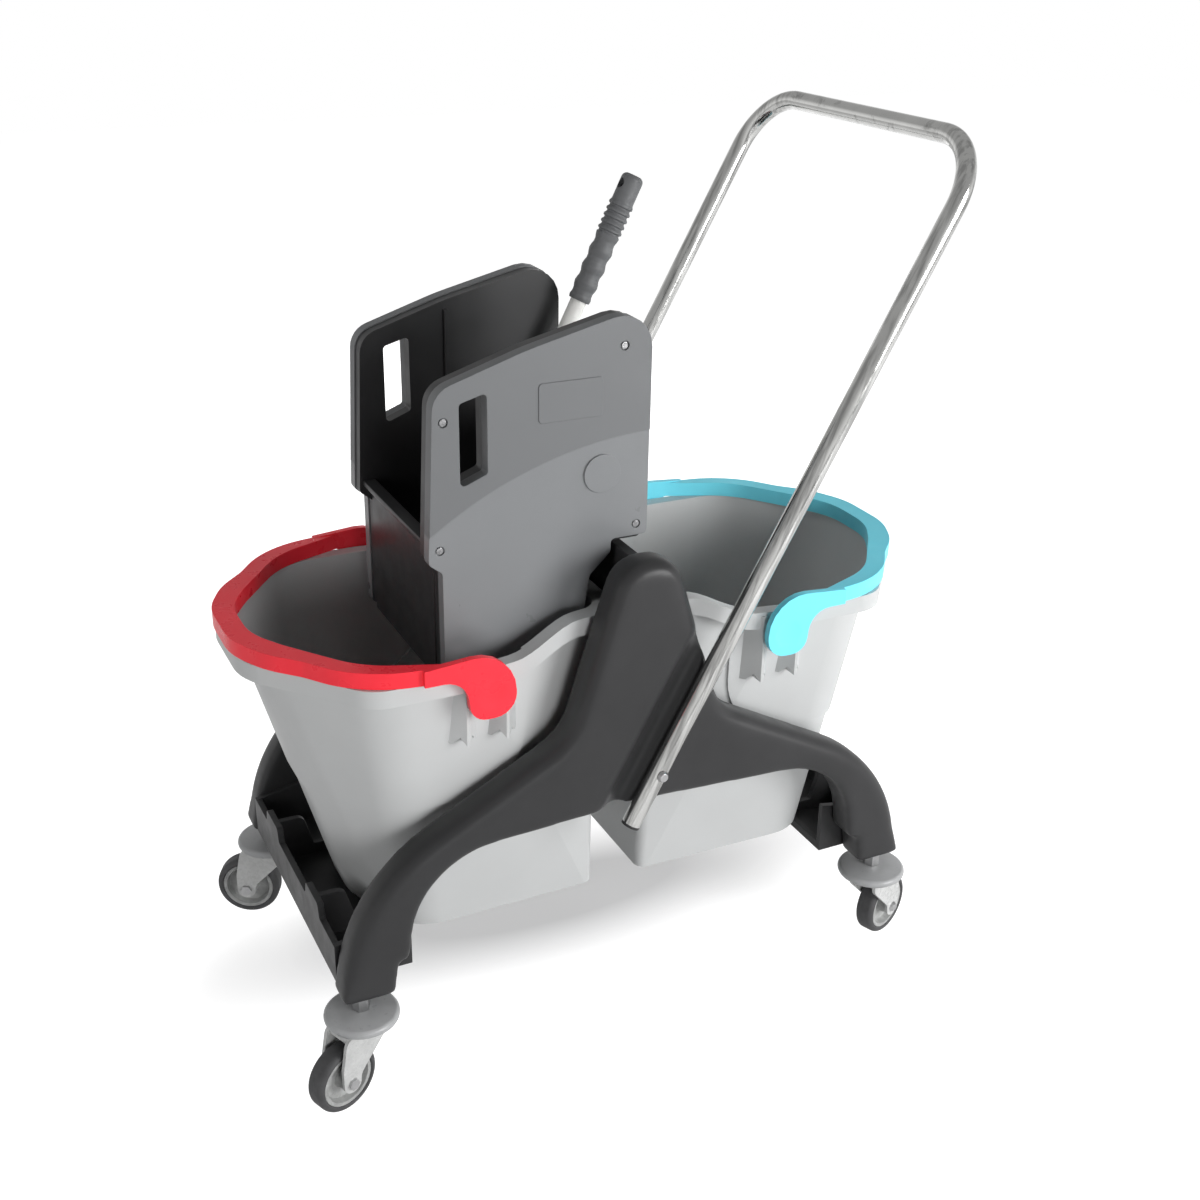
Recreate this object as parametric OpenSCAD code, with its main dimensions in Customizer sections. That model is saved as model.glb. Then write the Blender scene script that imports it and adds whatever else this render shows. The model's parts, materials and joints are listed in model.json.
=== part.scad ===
// Double mop bucket trolley with a lever wringer, millimetres, +Z up.
// The origin is on the floor, midway between the wheels. +X runs to the right bucket, -Y is the front.

/* [Side frames] */
// Distance between the outer faces of the two side frames
frame_w = 392; // [370:2:420]
// Thickness of one side frame
frame_t = 39; // [34:1:44]
// Height of the pylon top above the floor
pylon_top_z = 553; // [545:1:570]
// Height of the pylon's foot, where it meets the shoulders
pylon_foot_z = 373; // [360:1:385]
// Half width of the pylon at its top
pylon_half_top = 30; // [26:1:36]
// Half width of the pylon at its foot
pylon_half_foot = 87; // [80:1:95]
// Height where the shoulder line would meet the outer edge of a foot
shoulder_z = 250; // [240:1:262]
// Height of the underside of the arch at its middle
arch_z = 284; // [275:1:292]
// Rounding of the upper edges of a side frame
frame_edge = 14; // [8:1:16]
// Rounding of the lower edges of a side frame
arch_edge = 4; // [2:0.5:6]

/* [Casters] */
// Distance between the left and right swivel axes
base_x = 628; // [610:2:640]
// Wheel diameter
wheel_d = 75; // [70:1:78]
// Tyre width
tyre_w = 23; // [20:1:25]
// Distance from the swivel axis back to the wheel axle
trail = 30; // [26:1:32]
// Diameter of the round bumper above each wheel
bumper_d = 78; // [70:1:80]
// Diameter of a caster's swivel stem
stem_d = 11; // [10:0.5:13]
// Diameter of a wheel axle
axle_d = 8; // [6:0.5:10]
// Underside of a frame foot above the floor
foot_z = 126; // [122:1:130]

/* [Push handle] */
// Tube diameter
handle_d = 20; // [18:0.5:22]
// Tube wall
handle_wall = 1.5; // [1:0.25:2.5]
// Distance between the two leg axes
handle_span = 408; // [404:1:412]
// Lean of the handle towards the right
handle_lean = 28.7; // [26:0.1:31]
// Length from the lower end to the top bar's axis
handle_len = 763; // [720:1:790]
// Bend radius at the tube's axis
handle_bend = 68; // [55:1:80]
// Lower end of a leg along X
handle_foot_x = -23; // [-30:1:-15]
// Lower end of a leg above the floor
handle_foot_z = 267; // [262:1:272]
// Height of the fixing bolt along a leg
handle_bolt_at = 62; // [55:1:75]

/* [Buckets] */
// Rim height at the pouring end
rim_z = 462; // [456:1:468]
// Rim height next to the pylons
hump_z = 488; // [482:1:494]
// Depth of the rim's skirt
skirt_h = 19; // [14:1:22]
// Outer end of the rim along X
rim_end_x = 383; // [376:1:384]
// Reach of the rim over the inner face of a side frame
rim_over = 19; // [15:0.5:19]
// Outer end of the bucket floor along X
floor_end_x = 283; // [276:1:286]
// Space between the bucket floor and a side frame's inner face
floor_gap = 26; // [22:1:34]
// Wall thickness
bucket_wall = 4; // [3:0.5:5]
// Gap between the inner end of a rim and the middle of the trolley
rim_gap = 10; // [8:0.5:12]

/* [Bails] */
// Outer end of a bail along X
bail_end_x = 387; // [384:1:390]
// Height of the flat band
bail_h = 17; // [14:1:20]
// Width of the band at the grip
bail_w = 22; // [18:1:24]
// Distance from the middle of the trolley to a bail's pivot
bail_pivot_x = 168; // [160:1:172]
// Height of a bail's pivot
bail_pivot_z = 440; // [436:1:441]
// Thickness of a bail's side lobe
lobe_t = 8; // [7:0.5:9]
// Radius of a bail's side lobe
lobe_r = 25; // [22:1:27]
// Diameter of the pivot stud
stud_d = 10; // [8:0.5:12]

/* [Wringer] */
// Distance between the outer faces of the side covers
wringer_w = 246; // [240:1:248]
// Width of the mop space between the inner panels
mop_w = 188; // [180:1:190]
// Right edge of the side covers
cover_right_x = 28.5; // [24:0.5:32]
// Top of the side covers at the right
cover_top_z = 792; // [780:1:800]
// Underside of the wringer
wringer_low_z = 420; // [412:1:426]
// Outer face of the end wall along X
end_wall_x = -193; // [-196:1:-190]
// Top of the end wall
end_wall_z = 572; // [566:1:578]
// Wall thickness of the wringer mouldings
shell = 3; // [2.5:0.25:4]

/* [Press] */
// Pivot shaft along X
press_x = -23.5; // [-26:0.5:-21]
// Pivot shaft above the floor
press_z = 626; // [620:1:632]
// Shaft diameter
shaft_d = 16; // [14:0.5:18]
// Length of the press jaw from the shaft's axis
jaw_len = 186; // [178:1:188]
// Lean of the jaw at rest
jaw_lean = 8.2; // [6:0.1:10]
// Lean of the lever at rest
lever_lean = 26.3; // [24:0.1:29]
// Length of the lever from the shaft's axis to its tip
lever_len = 281; // [270:1:292]
// Distance of the lever from the middle of the wringer
lever_y = 66; // [56:1:68]
// Lever tube diameter
lever_d = 18; // [16:0.5:20]
// Grip diameter
grip_d = 26; // [24:0.5:29]
// Grip length
grip_len = 142; // [130:1:150]

/* [Hidden] */
$fn = 48;

// Clearances: sliding and lifting pieces, running fits, pieces pushed together
rest_gap = 0.3;
run_gap = 0.06;
seat_gap = 0.05;
// Overlap that makes a cut pass cleanly through a face
cut = 1;

frame_out = frame_w / 2;
frame_in = frame_out - frame_t;
swivel_x = base_x / 2;
swivel_y = frame_out - frame_t / 2;
wheel_r = wheel_d / 2;
rim_half_y = frame_in + rim_over;
floor_half_y = frame_in - floor_gap;

// Colours
dark_grey = [0.23, 0.23, 0.24];
light_grey = [0.72, 0.73, 0.73];
mid_grey = [0.52, 0.53, 0.54];
charcoal = [0.3, 0.3, 0.31];
black = [0.12, 0.12, 0.12];
steel = [0.75, 0.75, 0.76];
red = [0.9, 0.16, 0.22];
blue = [0.3, 0.72, 0.9];

// Outlines with rounded corners
function unit(v) = v / norm(v);
function arc_steps(r) = r < 8 ? 3 : r < 60 ? 6 : 10;
// Points of the arc that rounds corner p = [x, y, radius] between its neighbours a and b
function corner(a, p, b) =
    let (
        tip = [p[0], p[1]],
        u = unit([a[0], a[1]] - tip),
        v = unit([b[0], b[1]] - tip),
        half = acos(u * v) / 2,
        r = p[2],
        c = tip + unit(u + v) * r / sin(half),
        s = tip + u * r / tan(half) - c,
        e = tip + v * r / tan(half) - c,
        start = atan2(s[1], s[0]),
        turn = atan2(e[1], e[0]) - start,
        sweep = turn - 360 * round(turn / 360),
        n = arc_steps(r)
    )
    r == 0 ? [tip] : [for (i = [0:n]) c + r * [cos(start + sweep * i / n), sin(start + sweep * i / n)]];
function rounded(pts) =
    let (n = len(pts))
    [for (i = [0:n - 1]) each corner(pts[(i + n - 1) % n], pts[i], pts[(i + 1) % n])];
// The same value once for each point that rounded() makes of a corner
function per_corner(pts, k) = [for (p = pts) for (i = [0:p[2] == 0 ? 0 : arc_steps(p[2])]) p[k]];
// As many entries as rounded() makes points of the first corners
function rounded_count(pts, corners) =
    [for (k = [0:corners - 1]) for (i = [0:pts[k][2] == 0 ? 0 : arc_steps(pts[k][2])]) 1];
// Direction that moves point i of a clockwise outline inwards by one
function inward(pts, i) =
    let (
        n = len(pts),
        d0 = unit(pts[i] - pts[(i + n - 1) % n]),
        d1 = unit(pts[(i + 1) % n] - pts[i]),
        m = [d0[1], -d0[0]] + [d1[1], -d1[0]]
    )
    m * 2 / (m * m);
function inset(pts, d) = [for (i = [0:len(pts) - 1]) pts[i] + d * inward(pts, i)];
function mirrored(pts) = [for (i = [len(pts) - 1:-1:0]) [-pts[i][0], for (k = [1:len(pts[i]) - 1]) pts[i][k]]];

// Extrudes an outline drawn in X and Z between two distances in front of the middle
module slab(near, far) translate([0, -near, 0]) rotate([90, 0, 0]) linear_extrude(far - near) children();
// A cylinder along Y between two distances in front of the middle
module rod_y(x, z, d, near, far) slab(near, far) translate([x, z]) circle(d = d);
module back() mirror([0, 1, 0]) children();
module left() mirror([1, 0, 0]) children();

// Side frames

foot_outer_x = swivel_x + 24;
foot_inner_x = swivel_x - 33;
heel_z = foot_z + 38;
heel_x = foot_inner_x - 16;
heel_slope = 4;
shoulder_x = foot_outer_x - 22;
arch_x = heel_x - 15;
arch_low_z = arch_z - 12;
// Corners of the right half: x, z, corner radius, edge rounding
frame_half = [
    [pylon_half_top, pylon_top_z, 34, frame_edge],
    [pylon_half_foot, pylon_foot_z, 60, frame_edge],
    [shoulder_x, shoulder_z, 190, frame_edge],
    [foot_outer_x, foot_z, 3, 2],
    [foot_inner_x, foot_z, 3, 2],
    [foot_inner_x - heel_slope, heel_z, 2, 1.5],
    [heel_x, heel_z, 3, 2],
    [arch_x, arch_low_z, 95, arch_edge]
];
frame_corners = concat(frame_half, [[0, arch_z, 400, arch_edge]], mirrored(frame_half));
frame_outline = rounded(frame_corners);
frame_rounding = per_corner(frame_corners, 3);

// One ring of the frame's skin: t runs from 0 at the side to 90 degrees at the outer face
function frame_ring(t) =
    [for (i = [0:len(frame_outline) - 1])
        let (
            e = frame_rounding[i],
            p = frame_outline[i] + e * (1 - cos(t)) * inward(frame_outline, i)
        )
        [p[0], -frame_out + e * (1 - sin(t)), p[1]]];
frame_turns = [0, 22.5, 45, 67.5, 90];

// The upper and lower edge, each as outline indices from the right foot round to the left one
frame_n = len(frame_outline);
first_low = len(rounded_count(frame_corners, 4));
upper_chain = concat([for (i = [first_low - 1:-1:0]) i], [for (i = [frame_n - 1:-1:frame_n - first_low]) i]);
lower_chain = [for (i = [first_low:frame_n - first_low - 1]) i];
sweep_z = 150;
function sweep_angle(i) =
    let (a = atan2(frame_outline[i][1] - sweep_z, frame_outline[i][0]))
    a < -90 ? a + 360 : a;
// Triangles between the two edges, taken in turn by their angle about a point under the arch
function face_strip(i = 0, j = 0) =
    let (
        more_up = i < len(upper_chain) - 1,
        more_low = j < len(lower_chain) - 1,
        up = more_up && (!more_low || sweep_angle(upper_chain[i + 1]) <= sweep_angle(lower_chain[j + 1]))
    )
    !more_up && !more_low ? [] :
    up ? concat([[upper_chain[i + 1], upper_chain[i], lower_chain[j]]], face_strip(i + 1, j)) :
    concat([[lower_chain[j], lower_chain[j + 1], upper_chain[i]]], face_strip(i, j + 1));

module frame_blank() {
    n = frame_n;
    rings = concat([[for (p = frame_outline) [p[0], -frame_in, p[1]]]], [for (t = frame_turns) frame_ring(t)]);
    last = len(rings) - 1;
    skin = [for (k = [0:last - 1]) for (i = [0:n - 1]) let (j = (i + 1) % n)
        each [[k * n + i, k * n + j, (k + 1) * n + j], [k * n + i, (k + 1) * n + j, (k + 1) * n + i]]];
    face = face_strip();
    polyhedron(
        [for (ring = rings) each ring],
        concat(skin, [for (f = face) [f[2], f[1], f[0]]], [for (f = face) [for (i = f) last * n + i]])
    );
}

// Places children in the frame of a handle leg: local Z runs up the leg
module on_leg() translate([handle_foot_x, 0, handle_foot_z]) rotate([0, handle_lean, 0]) children();

leg_y = handle_span / 2;
handle_r = handle_d / 2;
seat_y = leg_y - handle_r - seat_gap;
channel_depth = 10;
channel_w = 13;
channel_slope = 16;
channel_from = -60;
channel_len = 500;
// Seat of the leg and the open channel beside it, across the outer face
module leg_channel() {
    far = frame_out + cut;
    on_leg() translate([0, 0, channel_from]) linear_extrude(channel_len) polygon([
        [handle_r + seat_gap, -far], [handle_r + seat_gap, -seat_y], [-handle_r, -seat_y],
        [-handle_r, -seat_y + channel_depth], [-handle_r - channel_w, -seat_y + channel_depth],
        [-handle_r - channel_w - channel_slope, -far]
    ]);
}

bolt_d = 6;
stem_len = 40;
module side_frame_front() {
    color(dark_grey) difference() {
        frame_blank();
        leg_channel();
        on_leg() rod_y(0, handle_bolt_at, bolt_d + 2 * seat_gap, frame_in - cut, frame_out + cut);
        for (s = [-1, 1])
            translate([s * swivel_x, -swivel_y, foot_z - cut])
                cylinder(d = stem_d + 2 * seat_gap, h = stem_len + cut);
    }
}
module side_frame_back() back() side_frame_front();

// Cross members

beam_wall = 7;
beam_low_z = foot_z + 3;
beam_out_x = foot_outer_x - 5;
beam_in_x = floor_end_x - 32;
beam_floor = 6;
beam_lip = 10;
bucket_floor_z = 148;
wall_end_x = rim_end_x - 5;
// Outward lean of a bucket's end wall
end_rake = (wall_end_x - floor_end_x) / (hump_z - bucket_floor_z);
seat_z = bucket_floor_z - rest_gap;
low_edge_z = heel_z + 10;
high_edge_z = heel_z + 26;
raised_from = 52;
raised_to = 104;
raised_slant = 4;
// Upper edge of the outer wall: low at both ends and in the middle, with two raised lengths between
beam_edge = [
    [raised_from, low_edge_z, 4], [raised_from + raised_slant, high_edge_z, 5],
    [raised_to - raised_slant, high_edge_z, 5], [raised_to, low_edge_z, 4],
    [frame_in, low_edge_z, 0], [frame_in, beam_low_z, 0]
];
gusset_y = (raised_from + raised_to) / 2;
gusset_top_z = high_edge_z - 4;
gusset_gap = 4;
module end_beam_right() {
    color(dark_grey) {
        // Floor with a lip along its inner edge
        slab(-frame_in, frame_in) polygon([
            [beam_in_x, beam_low_z], [beam_in_x, beam_low_z + beam_lip],
            [beam_in_x + beam_wall, beam_low_z + beam_lip], [beam_in_x + beam_wall, beam_low_z + beam_floor],
            [beam_out_x, beam_low_z + beam_floor], [beam_out_x, beam_low_z]
        ]);
        translate([beam_out_x - beam_wall, 0, 0]) rotate([90, 0, 90]) linear_extrude(beam_wall)
            polygon(rounded(concat(beam_edge, mirrored(beam_edge))));
        for (s = [-1, 1]) scale([1, s, 1]) {
            // End plate against the side frame
            slab(frame_in - beam_wall, frame_in) polygon([
                [beam_in_x, beam_low_z], [beam_in_x, high_edge_z],
                [beam_out_x, low_edge_z], [beam_out_x, beam_low_z]
            ]);
            // Gusset that carries the end of the bucket and guards its wall
            slab(gusset_y - beam_wall / 2, gusset_y + beam_wall / 2) polygon(rounded([
                [beam_in_x, beam_low_z, 0], [beam_in_x, seat_z, 0], [floor_end_x + gusset_gap, seat_z, 0],
                [floor_end_x + gusset_gap + (gusset_top_z - seat_z) * end_rake, gusset_top_z, 10],
                [beam_out_x - cut, gusset_top_z, 0], [beam_out_x - cut, beam_low_z, 0]
            ]));
        }
    }
}
module end_beam_left() left() end_beam_right();

rail_top_z = 546;
rail_half = 6;
hanger_half = 22;
hanger_z = hump_z - skirt_h - rest_gap;
hanger_low_z = 330;
hanger_wall = 5;
module centre_divider() {
    color(dark_grey) slab(-frame_in, frame_in) difference() {
        union() {
            translate([-hanger_half, hanger_low_z]) square([2 * hanger_half, hanger_z - hanger_low_z]);
            translate([-rail_half, hanger_z - cut]) square([2 * rail_half, rail_top_z - hanger_z + cut]);
        }
        translate([-hanger_half + hanger_wall, hanger_low_z - cut])
            square([2 * (hanger_half - hanger_wall), hanger_z - hanger_low_z - hanger_wall + cut]);
    }
}

// Push handle

module tube_ring() difference() {
    circle(r = handle_r);
    circle(r = handle_r - handle_wall);
}
bend_z = handle_len - handle_bend;
bar_half = leg_y - handle_bend;
module push_handle() {
    color(steel) difference() {
        on_leg() {
            for (s = [-1, 1]) {
                translate([0, s * leg_y, 0]) linear_extrude(bend_z) tube_ring();
                translate([0, s * bar_half, bend_z]) rotate([90, 0, 90]) mirror([s < 0 ? 1 : 0, 0, 0])
                    rotate_extrude(angle = 90) translate([handle_bend, 0]) tube_ring();
            }
            translate([0, bar_half, handle_len]) rotate([90, 0, 0]) linear_extrude(2 * bar_half) tube_ring();
        }
        for (s = [-1, 1])
            scale([1, s, 1]) on_leg()
                rod_y(0, handle_bolt_at, bolt_d + 2 * seat_gap, leg_y - handle_d, leg_y + handle_d);
    }
}
plug_len = 18;
plug_cap = 3;
module handle_end_plugs() {
    color(black) for (s = [-1, 1]) on_leg() translate([0, s * leg_y, 0]) {
        cylinder(r = handle_r - handle_wall - seat_gap, h = plug_len);
        translate([0, 0, -plug_cap]) cylinder(r = handle_r, h = plug_cap);
    }
}
bolt_head_d = 13;
bolt_head_h = 4;
nut_d = 11;
nut_h = 5;
module handle_bolts() {
    color(steel) for (m = [0, 1]) mirror([0, m, 0]) on_leg() {
        rod_y(0, handle_bolt_at, bolt_d, frame_in - nut_h - 2, leg_y + handle_r + cut);
        translate([0, -leg_y - handle_r, handle_bolt_at]) rotate([90, 0, 0])
            cylinder(d1 = bolt_head_d, d2 = bolt_head_d - 4, h = bolt_head_h);
    }
}
module handle_nuts() {
    color(steel) for (m = [0, 1]) mirror([0, m, 0]) on_leg()
        slab(frame_in - nut_h, frame_in) translate([0, handle_bolt_at]) difference() {
            circle(d = nut_d, $fn = 6);
            circle(d = bolt_d + 2 * seat_gap);
        }
}

// Casters

bumper_low_z = 93;
bumper_h = 14;
crown_h = 7;
crown_z = bumper_low_z - crown_h;
stem_head_d = 19;
stem_head_h = 5;
module caster_stems() {
    color(steel) for (sx = [-1, 1]) for (sy = [-1, 1]) translate([sx * swivel_x, sy * swivel_y, 0]) {
        translate([0, 0, crown_z - rest_gap - stem_head_h]) cylinder(d = stem_head_d, h = stem_head_h);
        translate([0, 0, crown_z - stem_head_h]) cylinder(d = stem_d, h = foot_z + stem_len - crown_z);
        translate([0, 0, bumper_low_z + bumper_h + rest_gap])
            cylinder(d = stem_d + 8, h = foot_z - bumper_low_z - bumper_h - rest_gap, $fn = 6);
    }
}

// Headings of the four trailing wheels, anticlockwise from +X
front_left_turn = 202;
front_right_turn = 22;
back_left_turn = 152;
back_right_turn = 30;
// Places children on one caster: local X runs back along the trail
module on_caster(sx, sy, turn) translate([sx * swivel_x, sy * swivel_y, 0]) rotate([0, 0, turn]) children();

leg_t = 4;
leg_gap = 2.5;
leg_in = tyre_w / 2 + leg_gap;
leg_out = leg_in + leg_t;
leg_boss_r = 11;
module fork_leg() {
    slab(leg_in, leg_out) polygon(rounded([
        [-15, crown_z + crown_h, 2], [-15, crown_z - 8, 12], [trail - leg_boss_r, wheel_r + 6, 14],
        [trail - leg_boss_r, wheel_r - leg_boss_r, leg_boss_r - 0.5],
        [trail + leg_boss_r, wheel_r - leg_boss_r, leg_boss_r - 0.5],
        [trail + leg_boss_r, wheel_r + 20, 30], [trail + 4, crown_z + crown_h, 10]
    ]));
}
module fork() {
    difference() {
        union() {
            fork_leg();
            back() fork_leg();
            translate([0, 0, crown_z]) linear_extrude(crown_h) polygon(rounded([
                [-19, -leg_out, 8], [-19, leg_out, 8], [trail + 2, leg_out, 6], [trail + 2, -leg_out, 6]
            ]));
        }
        translate([0, 0, crown_z - cut]) cylinder(d = stem_d + 2 * run_gap, h = crown_h + 2 * cut);
        rod_y(trail, wheel_r, axle_d + 2 * seat_gap, -leg_out - cut, leg_out + cut);
    }
}
bumper_edge = 5;
module bumper() {
    rotate_extrude($fn = 72) polygon(concat(
        [[stem_d / 2 + run_gap, bumper_low_z], [24, bumper_low_z]],
        [for (a = [-60:20:80])
            [bumper_d / 2 - bumper_edge, bumper_low_z + bumper_h / 2] + bumper_edge * [cos(a), sin(a)]],
        [[22, bumper_low_z + bumper_h - 0.6], [15, bumper_low_z + bumper_h],
         [stem_d / 2 + run_gap, bumper_low_z + bumper_h]]
    ));
}
axle_head_d = 13;
axle_head_h = 3.5;
module axle() {
    translate([trail, 0, wheel_r]) rotate([90, 0, 0]) {
        translate([0, 0, -leg_out]) cylinder(d = axle_d, h = 2 * leg_out);
        translate([0, 0, leg_out]) cylinder(d1 = axle_head_d, d2 = axle_head_d - 4, h = axle_head_h);
        translate([0, 0, -leg_out - axle_head_h]) cylinder(d = axle_head_d, h = axle_head_h, $fn = 6);
    }
}
hub_rim_r = wheel_r - 7.5;
hub_rim_t = 4;
hub_boss_r = 10;
hub_web = 2.5;
hub_half = tyre_w / 2 + 1.5;
module hub() {
    translate([trail, 0, wheel_r]) rotate([90, 0, 0]) rotate_extrude($fn = 72) polygon([
        [axle_d / 2 + run_gap, -hub_half], [hub_boss_r, -hub_half], [hub_boss_r + 2, -hub_web],
        [hub_rim_r - hub_rim_t - 2, -hub_web], [hub_rim_r - hub_rim_t, -tyre_w / 2 + 1.5],
        [hub_rim_r, -tyre_w / 2 + 1.5], [hub_rim_r, tyre_w / 2 - 1.5],
        [hub_rim_r - hub_rim_t, tyre_w / 2 - 1.5], [hub_rim_r - hub_rim_t - 2, hub_web],
        [hub_boss_r + 2, hub_web], [hub_boss_r, hub_half], [axle_d / 2 + run_gap, hub_half]
    ]);
}
tyre_shoulder = 6;
module tyre() {
    half = tyre_w / 2;
    translate([trail, 0, wheel_r]) rotate([90, 0, 0]) rotate_extrude($fn = 72) polygon(concat(
        [[hub_rim_r, -half + 1.5], [hub_rim_r + 1.5, -half]],
        [for (a = [-90:15:0]) [wheel_r - tyre_shoulder, -half + tyre_shoulder] + tyre_shoulder * [cos(a), sin(a)]],
        [for (a = [0:15:90]) [wheel_r - tyre_shoulder, half - tyre_shoulder] + tyre_shoulder * [cos(a), sin(a)]],
        [[hub_rim_r + 1.5, half], [hub_rim_r, half - 1.5]]
    ));
}

module front_left_fork() color(mid_grey) on_caster(-1, -1, front_left_turn) fork();
module front_left_bumper() color(mid_grey) on_caster(-1, -1, front_left_turn) bumper();
module front_left_axle() color(steel) on_caster(-1, -1, front_left_turn) axle();
module front_left_hub() color(light_grey) on_caster(-1, -1, front_left_turn) hub();
module front_left_tyre() color(black) on_caster(-1, -1, front_left_turn) tyre();
module front_right_fork() color(mid_grey) on_caster(1, -1, front_right_turn) fork();
module front_right_bumper() color(mid_grey) on_caster(1, -1, front_right_turn) bumper();
module front_right_axle() color(steel) on_caster(1, -1, front_right_turn) axle();
module front_right_hub() color(light_grey) on_caster(1, -1, front_right_turn) hub();
module front_right_tyre() color(black) on_caster(1, -1, front_right_turn) tyre();
module back_left_fork() color(mid_grey) on_caster(-1, 1, back_left_turn) fork();
module back_left_bumper() color(mid_grey) on_caster(-1, 1, back_left_turn) bumper();
module back_left_axle() color(steel) on_caster(-1, 1, back_left_turn) axle();
module back_left_hub() color(light_grey) on_caster(-1, 1, back_left_turn) hub();
module back_left_tyre() color(black) on_caster(-1, 1, back_left_turn) tyre();
module back_right_fork() color(mid_grey) on_caster(1, 1, back_right_turn) fork();
module back_right_bumper() color(mid_grey) on_caster(1, 1, back_right_turn) bumper();
module back_right_axle() color(steel) on_caster(1, 1, back_right_turn) axle();
module back_right_hub() color(light_grey) on_caster(1, 1, back_right_turn) hub();
module back_right_tyre() color(black) on_caster(1, 1, back_right_turn) tyre();

// Buckets: each outline is the hull of circles [x, y, radius] and their mirror images across the middle

inner_r = 38;
inner_half_y = 115;
rim_end_r = 74;
rim_corner_r = 44;
rim_corner_back = 118;
rim_side_r = 30;
// Where the straight sides begin, along X
side_from_x = 190;
end_half_y = 32;
rim_plan = [
    [rim_end_x - rim_end_r, end_half_y, rim_end_r],
    [rim_end_x - rim_corner_back, rim_half_y - rim_corner_r, rim_corner_r],
    [side_from_x, rim_half_y - rim_side_r, rim_side_r], [rim_gap + inner_r, inner_half_y, inner_r]
];
// The walls at the height of the inner end's rim, and the floor
wall_end_r = 90;
wall_end_y = end_half_y - 14;
wall_corner_r = 70;
wall_corner_back = 133;
wall_side_r = 20;
wall_inner_r = 29;
wall_half_y = rim_half_y - 10;
wall_plan = [
    [wall_end_x - wall_end_r, wall_end_y, wall_end_r],
    [rim_end_x - wall_corner_back, wall_half_y - wall_corner_r, wall_corner_r],
    [side_from_x, wall_half_y - wall_side_r, wall_side_r],
    [hanger_half + 1 + wall_inner_r, inner_half_y - 3, wall_inner_r]
];
floor_end_r = 76;
floor_corner_r = 58;
floor_corner_back = 78;
floor_inner_r = 14;
floor_plan = [
    [floor_end_x - floor_end_r, wall_end_y, floor_end_r],
    [floor_end_x - floor_corner_back, floor_half_y - floor_corner_r, floor_corner_r],
    [hanger_half + 3 + floor_inner_r, floor_half_y - 2 - floor_inner_r, floor_inner_r]
];
// Reach of cuts past the bucket: to the right, to the left, to each side and upwards
past_x = 500;
past_middle = -50;
past_y = 300;
past_z = 600;
hull_fn = 48;
module layer(plan, z, less = 0)
    for (c = plan) for (s = [-1, 1])
        translate([c[0], s * c[1], z]) cylinder(r = c[2] - less, h = 0.01, $fn = hull_fn);
module prism(plan, z0, z1, less = 0) hull() {
    layer(plan, z0, less);
    layer(plan, z1, less);
}
// Rim height along X: an S-curve up to the inner end
hump_from_x = 138;
hump_to_x = 62;
function rim_height(x) =
    let (t = min(1, max(0, (hump_from_x - x) / (hump_from_x - hump_to_x))))
    rim_z + (hump_z - rim_z) * t * t * (3 - 2 * t);
hump_steps = 8;
hump_xs = [for (i = [0:hump_steps]) hump_from_x + (hump_to_x - hump_from_x) * i / hump_steps];
rim_xs = concat([past_x], hump_xs, [past_middle]);
// Band between two depths below the rim line, across the whole bucket
module rim_band(from, to)
    slab(-past_y, past_y) polygon(concat(
        [for (x = rim_xs) [x, rim_height(x) - from]],
        [for (i = [len(rim_xs) - 1:-1:0]) [rim_xs[i], rim_height(rim_xs[i]) - to]]
    ));

flange_t = 4;
skirt_t = 4;
rib_w = 40;
rib_low_z = 380;
rib_out_y = rim_half_y - 4;
rib_in_y = 130;
rib_root = 18;
rib_nose = 1.5;
rib_spots = [bail_pivot_x - 21, bail_pivot_x + 21];
fishtail = 9;
tail_at = 6.5;
pivot_boss_d = 24;
lobe_in_y = rim_half_y + 2;
stud_len = 5.5;
// Pivot boss on the front side with the two ribs beside it, before the bucket is hollowed
module pivot_mount() {
    rod_y(bail_pivot_x, bail_pivot_z, pivot_boss_d, rib_in_y, lobe_in_y - rest_gap);
    difference() {
        for (x = rib_spots)
            translate([x, 0, rib_low_z]) linear_extrude(rim_z - flange_t - rib_low_z) polygon([
                [-rib_w / 2, -rib_in_y], [-rib_w / 2, -rib_in_y - rib_root], [-rib_nose, -rib_out_y],
                [rib_nose, -rib_out_y], [rib_w / 2, -rib_in_y - rib_root], [rib_w / 2, -rib_in_y]
            ]);
        // Swallowtail end of each rib's two slopes
        for (x = rib_spots) for (s = [-1, 1])
            slab(rib_in_y - cut, rim_half_y + cut) polygon([
                [x, rib_low_z - cut], [x + s * tail_at, rib_low_z + fishtail],
                [x + s * 2 * tail_at, rib_low_z - cut]
            ]);
    }
}
module stud()
    rod_y(bail_pivot_x, bail_pivot_z, stud_d, lobe_in_y - rest_gap - cut, lobe_in_y + stud_len - rest_gap);
// Tapered body, smaller by some millimetres all round and with its floor raised
module taper(less, lift) hull() {
    layer(wall_plan, hump_z + lift / 10, less);
    layer(floor_plan, bucket_floor_z + lift, less);
}
// Everything outside the line at which the wall steps in for nesting
step_in = 3;
step_x0 = 118;
step_z0 = 314;
step_r = 72;
step_fall = 18;
step_len = 200;
module above_step(raise) slab(-past_y, past_y) polygon(rounded([
    [step_x0 + raise, past_z, 0], [step_x0 + raise, step_z0 + raise, step_r],
    [step_x0 + step_len, step_z0 - step_fall + raise, 0], [past_x, step_z0 - step_fall + raise, 0],
    [past_x, past_z, 0]
]));
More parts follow.
